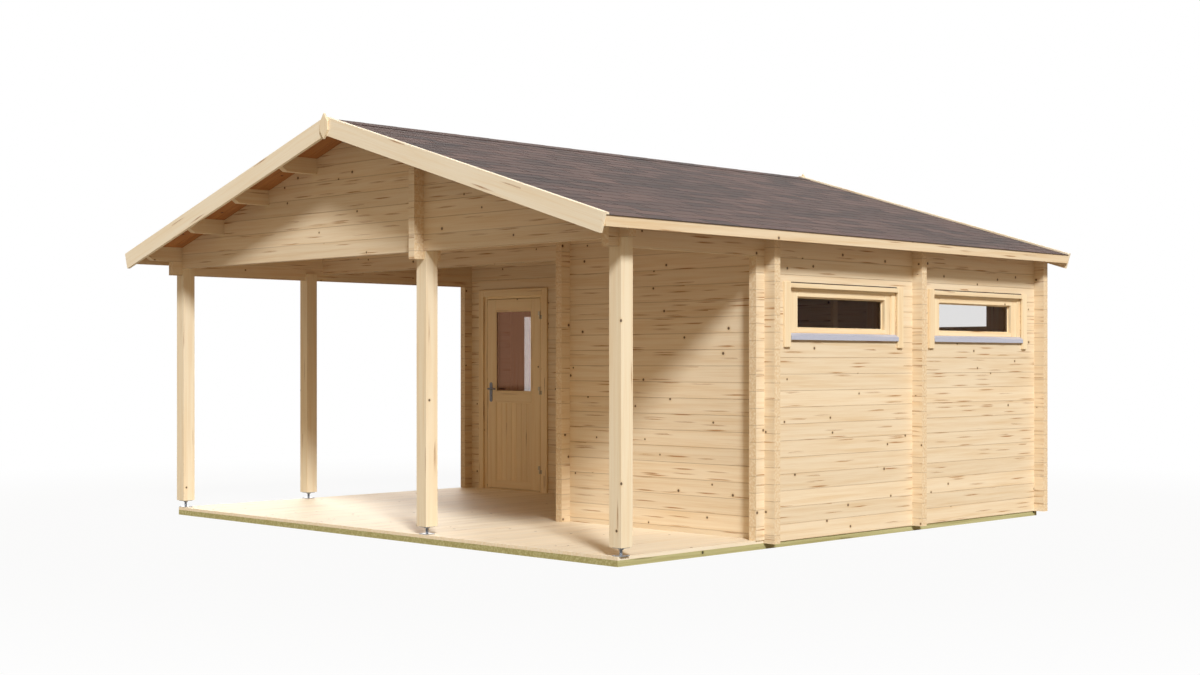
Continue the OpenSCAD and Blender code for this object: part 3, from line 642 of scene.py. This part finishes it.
glazing = Finish("double_glazing", Base_Color=paint(84, 60, 50), Roughness=0.03, Alpha=0.08,
                 IOR=1.5)
x, y, z = glazing.place()
waver = glazing.noise(glazing.point(x * 2, y * 2, z * 2), detail=1)
glazing.feed(glazing.shader.inputs["Roughness"], waver * 0.04 + 0.01)
clad(glazing, "window_glass")

sill = Finish("sill_paint", Roughness=0.4, Coat_Weight=0.2)
x, y, z = sill.place()
film = sill.noise(sill.point(x * 25, y * 25, z * 25), detail=3)
sill.feed(sill.shader.inputs["Base Color"],
          sill.mix(film, paint(174, 178, 194), paint(188, 191, 204)))
sill.feed(sill.shader.inputs["Roughness"], film * 0.2 + 0.3)
sill.bump(film, 0.05, 0.001)
clad(sill, "window_sills")

# ---- Door frame and inner doorway ----
# Spruce jambs, head and threshold in the hole in the logs, with a stop behind the leaf and
# boards round both faces. The doorway between the rooms is only lined.
door_wood = [
    wood("door_spruce_" + along.lower(), along, paint(246, 222, 178), paint(236, 204, 152),
         paint(140, 88, 44), knots=0.12, streaks=0.08, rough=0.5)
    for along in "XYZ"
]
DOOR_GAP, JAMB, STOP_OVER, DOOR_CASING = 0.005, 0.049, 0.012, 0.075
frame_low, frame_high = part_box("door_frame")
leaf_low, leaf_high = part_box("door_leaf")
floor_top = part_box("terrace_floor")[1].z
over_door = partition_low.z
wall_front, wall_back = partition_low.y, partition_high.y
jamb_left = leaf_low.x - DOOR_GAP - JAMB
jamb_right = leaf_high.x + DOOR_GAP + JAMB
head_low = leaf_high.z + DOOR_GAP
threshold = leaf_low.z - DOOR_GAP
stop_front = leaf_high.y + DOOR_GAP
stop_in = DOOR_GAP + STOP_OVER
bm = bmesh.new()
FRAME_EDGE, SILL_EDGE = 0.0015, 0.003
plank(bm, (jamb_left, wall_front, frame_low.z),
      (jamb_left + JAMB, wall_back, over_door), FRAME_EDGE)
plank(bm, (jamb_right - JAMB, wall_front, frame_low.z),
      (jamb_right, wall_back, over_door), FRAME_EDGE)
plank(bm, (jamb_left + JAMB, wall_front, head_low),
      (jamb_right - JAMB, wall_back, over_door), FRAME_EDGE)
plank(bm, (jamb_left + JAMB, wall_front, frame_low.z),
      (jamb_right - JAMB, wall_back, threshold), SILL_EDGE)
plank(bm, (jamb_left + JAMB, stop_front, threshold),
      (jamb_left + JAMB + stop_in, wall_back, head_low), FRAME_EDGE)
plank(bm, (jamb_right - JAMB - stop_in, stop_front, threshold),
      (jamb_right - JAMB, wall_back, head_low), FRAME_EDGE)
plank(bm, (jamb_left + JAMB + stop_in, stop_front, head_low - stop_in),
      (jamb_right - JAMB - stop_in, wall_back, head_low), FRAME_EDGE)
for y0, y1 in ((frame_low.y, wall_front), (wall_back, frame_high.y)):
    plank(bm, (frame_low.x, y0, floor_top),
          (frame_low.x + DOOR_CASING, y1, frame_high.z), CASING_EDGE)
    plank(bm, (frame_high.x - DOOR_CASING, y0, floor_top),
          (frame_high.x, y1, frame_high.z), CASING_EDGE)
    plank(bm, (frame_low.x + DOOR_CASING, y0, frame_high.z - DOOR_CASING),
          (frame_high.x - DOOR_CASING, y1, frame_high.z), CASING_EDGE)
piece("door_frame_and_casings", bm, door_wood, "cabin", "door_wood", "door_frame")
clad(door_wood[2], "inner_door_lining")

# ---- Door leaf ----
# Spruce stiles and rails glued round a panel of upright tongued boards below and double
# glazing above, which beads hold on both sides.
glass_low, glass_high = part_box("door_glass")
stile = glass_low.x - leaf_low.x
MID_RAIL, FOOT_RAIL, PANEL_SINK = 0.107, 0.075, 0.008
panel_low, panel_high = leaf_low.z + FOOT_RAIL, glass_low.z - MID_RAIL
y0, y1 = leaf_low.y, leaf_high.y
bm = bmesh.new()
plank(bm, leaf_low, (leaf_low.x + stile, y1, leaf_high.z), 0.002)
plank(bm, (leaf_high.x - stile, y0, leaf_low.z), leaf_high, 0.002)
for z0, z1 in ((leaf_low.z, panel_low), (panel_high, glass_low.z), (glass_high.z, leaf_high.z)):
    plank(bm, (glass_low.x, y0, z0), (glass_high.x, y1, z1), 0.002)
BOARDS = 7
wide = (glass_high.x - glass_low.x) / BOARDS
for k in range(BOARDS):
    left_edge = glass_low.x + k * wide
    plank(bm, (left_edge, y0 + PANEL_SINK, panel_low),
          (left_edge + wide, y1 - PANEL_SINK, panel_high), 0.0035)
BEAD = 0.012
turn = None
for front, back, z0, z1 in (
    (y0 + 0.002, glass_low.y, glass_low.z, glass_high.z),
    (glass_high.y, y1 - 0.002, glass_low.z, glass_high.z),
    (y0 + 0.002, y0 + PANEL_SINK, panel_low, panel_high),
    (y1 - PANEL_SINK, y1 - 0.002, panel_low, panel_high),
):
    for a, b in ((glass_low.x, glass_low.x + BEAD), (glass_high.x - BEAD, glass_high.x)):
        plank(bm, (a, front, z0), (b, back, z1), 0.002)
    for a, b in ((z0, z0 + BEAD), (z1 - BEAD, z1)):
        plank(bm, (glass_low.x + BEAD, front, a), (glass_high.x - BEAD, back, b), 0.002)
piece("door_leaf_joinery", bm, door_wood, "door", "door_wood", "door_leaf")

# Painted light: a pinkish-brown metallic film on the door glass stands in for the bright room seen
# through it.
door_glass_painted_light = Finish("coated_glazing", Base_Color=paint(156, 106, 76), Metallic=0.6, Alpha=0.40)
x, y, z = door_glass_painted_light.place()
waver = door_glass_painted_light.noise(door_glass_painted_light.point(x * 2, y * 2, z * 2), detail=1)
door_glass_painted_light.feed(door_glass_painted_light.shader.inputs["Roughness"], waver * 0.04 + 0.01)
clad(door_glass_painted_light, "door_glass")

# ---- Hinges ----
# Three zinc-plated steel hinges with a pin. One half is screwed to the frame, the other to
# the leaf's edge, and the barrels show on the terrace side.
zinc = Finish("zinc_plate", Metallic=0.6, Roughness=0.35)
x, y, z = zinc.place()
cloud = zinc.noise(zinc.point(x * 60, y * 60, z * 60), detail=3)
zinc.feed(zinc.shader.inputs["Base Color"],
          zinc.mix(cloud, paint(206, 190, 160), paint(166, 148, 118)))
zinc.feed(zinc.shader.inputs["Roughness"], cloud * 0.25 + 0.2)
clad(zinc, "door_hinge_plates", "door_hinge_knuckles")

# ---- Lock and lever ----
# Grey cast metal plates on both faces of the leaf, each with a keyhole and a bent
# lever on a common spindle.
cast = Finish("cast_metal", Metallic=0.3, Roughness=0.4)
x, y, z = cast.place()
skin = cast.noise(cast.point(x * 220, y * 220, z * 220), detail=3)
cast.feed(cast.shader.inputs["Base Color"],
          cast.mix(skin, paint(110, 110, 116), paint(134, 134, 142)))
cast.feed(cast.shader.inputs["Roughness"], skin * 0.2 + 0.28)
cast.bump(skin, 0.1, 0.0005)
plate_low, plate_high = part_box("door_lock_plate")
lever_low, lever_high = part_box("door_lever")
lever_joint = next(j for j in frame["joints"] if j["name"] == "door_handle")
spindle_x, _, spindle_z = lever_joint["pos_m"]
PLATE = 0.004
KEY_DOWN, KEY_BOSS, KEY_BOSS_HIGH = 0.072, 0.024, 0.004


def across_rod(bm, wide, y0, y1, x, z, sides=28, end=None):
    """A rod that lies from front to back."""
    end = wide if end is None else end
    made = bmesh.ops.create_cone(bm, cap_ends=True, segments=sides, radius1=wide / 2,
                                 radius2=end / 2, depth=y1 - y0)
    bmesh.ops.rotate(bm, matrix=Matrix.Rotation(-pi / 2, 3, "X"), verts=made["verts"])
    bmesh.ops.translate(bm, vec=(x, (y0 + y1) / 2, z), verts=made["verts"])
    return made["verts"]


def stadium(bm, y0, y1):
    """A plate with round ends between two depths."""
    radius = (plate_high.x - plate_low.x) / 2
    made = bmesh.ops.create_circle(bm, cap_ends=True, radius=radius, segments=32)
    verts = made["verts"]
    bmesh.ops.rotate(bm, matrix=Matrix.Rotation(pi / 2, 3, "X"), verts=verts)
    bmesh.ops.translate(bm, vec=(spindle_x, y0, (plate_low.z + plate_high.z) / 2), verts=verts)
    middle = (plate_low.z + plate_high.z) / 2
    stretch = (plate_high.z - plate_low.z) / 2 - radius
    for vert in verts:
        vert.co.z += stretch if vert.co.z > middle + 1e-6 else -stretch
    face = verts[0].link_faces[0]
    grown = bmesh.ops.extrude_face_region(bm, geom=[face])["geom"]
    new = [g for g in grown if isinstance(g, bmesh.types.BMVert)]
    bmesh.ops.translate(bm, vec=(0, y1 - y0, 0), verts=new)


bm = bmesh.new()
for y0, y1, out in ((plate_low.y, plate_low.y + PLATE, -1),
                    (plate_high.y - PLATE, plate_high.y, 1)):
    stadium(bm, y0, y1)
    face_y = y0 if out < 0 else y1
    a, b = sorted((face_y, face_y + out * KEY_BOSS_HIGH))
    across_rod(bm, KEY_BOSS, a, b, spindle_x, spindle_z - KEY_DOWN)
bmesh.ops.recalc_face_normals(bm, faces=bm.faces)
piece("lock_plates", bm, [cast], "door", "handle_metal", "door_lock_plate")

bm = bmesh.new()
THICK, BEND, ROUNDED, TIP = 0.018, 0.016, 0.006, 0.6
COLLAR, COLLAR_HIGH, NECK_IN = 0.030, 0.008, 0.006
TIP_START = lever_high.x - ROUNDED
for face_y, out, middle_y in ((plate_low.y, -1, lever_low.y + THICK / 2),
                              (plate_high.y, 1, lever_high.y - THICK / 2)):
    a, b = sorted((face_y, face_y + out * COLLAR_HIGH))
    across_rod(bm, COLLAR, a, b, spindle_x, spindle_z)
    made = bmesh.ops.create_circle(bm, cap_ends=False, radius=THICK / 2, segments=20)
    verts = made["verts"]
    bmesh.ops.rotate(bm, matrix=Matrix.Rotation(pi / 2, 3, "X"), verts=verts)
    bmesh.ops.translate(bm, vec=(spindle_x, face_y + out * NECK_IN, spindle_z), verts=verts)
    rim = list({line for vert in verts for line in vert.link_edges})
    grown = bmesh.ops.extrude_edge_only(bm, edges=rim)["geom"]
    moved = [g for g in grown if isinstance(g, bmesh.types.BMVert)]
    run = middle_y - (face_y + out * NECK_IN) - out * BEND
    bmesh.ops.translate(bm, vec=(0, run, 0), verts=moved)
    rim = [g for g in grown if isinstance(g, bmesh.types.BMEdge)]
    centre = (spindle_x + BEND, middle_y - out * BEND, spindle_z)
    spun = bmesh.ops.spin(bm, geom=moved + rim, cent=centre,
                          axis=(0, 0, 1), angle=out * -pi / 2, steps=6, use_merge=False)
    moved = [g for g in spun["geom_last"] if isinstance(g, bmesh.types.BMVert)]
    rim = [g for g in spun["geom_last"] if isinstance(g, bmesh.types.BMEdge)]
    grown = bmesh.ops.extrude_edge_only(bm, edges=rim)["geom"]
    moved = [g for g in grown if isinstance(g, bmesh.types.BMVert)]
    bmesh.ops.translate(bm, vec=(TIP_START - (spindle_x + BEND), 0, 0), verts=moved)
    rim = [g for g in grown if isinstance(g, bmesh.types.BMEdge)]
    grown = bmesh.ops.extrude_edge_only(bm, edges=rim)["geom"]
    moved = [g for g in grown if isinstance(g, bmesh.types.BMVert)]
    centre = Vector((TIP_START, middle_y, spindle_z))
    bmesh.ops.scale(bm, vec=(1, TIP, TIP), space=Matrix.Translation(-centre), verts=moved)
    bmesh.ops.translate(bm, vec=(ROUNDED, 0, 0), verts=moved)
    rim = [g for g in grown if isinstance(g, bmesh.types.BMEdge)]
    bmesh.ops.edgeloop_fill(bm, edges=rim)
bmesh.ops.recalc_face_normals(bm, faces=bm.faces)
for face in bm.faces:
    face.smooth = len(face.verts) == 4
piece("door_levers", bm, [cast], "lever", "handle_metal", "door_lever")

# ---- Studio ----
# A pale floor that runs out to white, a white surround, one broad sun from the front right
# and a soft fill from behind, which only the rear and left walls see.
ground = bpy.data.materials.new("pale_floor")
ground.use_nodes = True
tree = ground.node_tree
tree.nodes.clear()
diffuse = tree.nodes.new("ShaderNodeBsdfDiffuse")
diffuse.inputs["Color"].default_value = (0.34, 0.31, 0.26, 1)
glow = tree.nodes.new("ShaderNodeEmission")
path = tree.nodes.new("ShaderNodeLightPath")
place = tree.nodes.new("ShaderNodeTexCoord")
out_from = tree.nodes.new("ShaderNodeVectorMath")
out_from.operation = "LENGTH"
run_out = tree.nodes.new("ShaderNodeMapRange")
run_out.interpolation_type = "SMOOTHSTEP"
for socket, number in zip(("From Min", "From Max", "To Min", "To Max"), (5.0, 11.0, 0.94, 1.0)):
    run_out.inputs[socket].default_value = number
share = tree.nodes.new("ShaderNodeMath")
share.operation = "MULTIPLY"
tree.links.new(place.outputs["Object"], out_from.inputs[0])
tree.links.new(out_from.outputs["Value"], run_out.inputs["Value"])
tree.links.new(run_out.outputs[0], share.inputs[1])
blend = tree.nodes.new("ShaderNodeMixShader")
output = tree.nodes.new("ShaderNodeOutputMaterial")
tree.links.new(path.outputs["Is Camera Ray"], share.inputs[0])
tree.links.new(share.outputs[0], blend.inputs[0])
tree.links.new(diffuse.outputs[0], blend.inputs[1])
tree.links.new(glow.outputs[0], blend.inputs[2])
tree.links.new(blend.outputs[0], output.inputs["Surface"])
bm = bmesh.new()
bmesh.ops.create_circle(bm, cap_ends=True, radius=80, segments=64)
mesh = bpy.data.meshes.new("studio_floor")
bm.to_mesh(mesh)
bm.free()
mesh.materials.append(ground)
studio_floor = bpy.data.objects.new("studio_floor", mesh)
scene.collection.objects.link(studio_floor)

world = bpy.data.worlds.new("surround")
world.use_nodes = True
tree = world.node_tree
tree.nodes.clear()
sky = tree.nodes.new("ShaderNodeBackground")
sky.inputs["Color"].default_value = (1.0, 0.71, 0.43, 1)
sky.inputs["Strength"].default_value = 0.39
white = tree.nodes.new("ShaderNodeBackground")
white.inputs["Strength"].default_value = 1.0
white.inputs["Color"].default_value = (1, 1, 1, 1)
path = tree.nodes.new("ShaderNodeLightPath")
seen = tree.nodes.new("ShaderNodeMath")
seen.operation = "MAXIMUM"
either = tree.nodes.new("ShaderNodeMath")
either.operation = "MAXIMUM"
blend = tree.nodes.new("ShaderNodeMixShader")
output = tree.nodes.new("ShaderNodeOutputWorld")
tree.links.new(path.outputs["Is Camera Ray"], seen.inputs[0])
tree.links.new(path.outputs["Is Glossy Ray"], seen.inputs[1])
tree.links.new(seen.outputs[0], either.inputs[0])
tree.links.new(path.outputs["Is Transmission Ray"], either.inputs[1])
tree.links.new(either.outputs[0], blend.inputs[0])
tree.links.new(sky.outputs[0], blend.inputs[1])
tree.links.new(white.outputs[0], blend.inputs[2])
tree.links.new(blend.outputs[0], output.inputs["Surface"])
scene.world = world

for name, energy, spread, colour, towards in (
    ("sun", 3.65, 10, (0.91, 0.95, 1.0), (0.845, -0.535, 0.72)),
    ("fill", 1.7, 50, (1.0, 0.95, 0.88), (-0.64, 0.70, 0.24)),
):
    lamp = bpy.data.objects.new(name, bpy.data.lights.new(name, "SUN"))
    lamp.data.energy = energy
    lamp.data.angle = radians(spread)
    lamp.data.color = colour
    lamp.rotation_euler = Vector(towards).to_track_quat("Z", "Y").to_euler()
    scene.collection.objects.link(lamp)
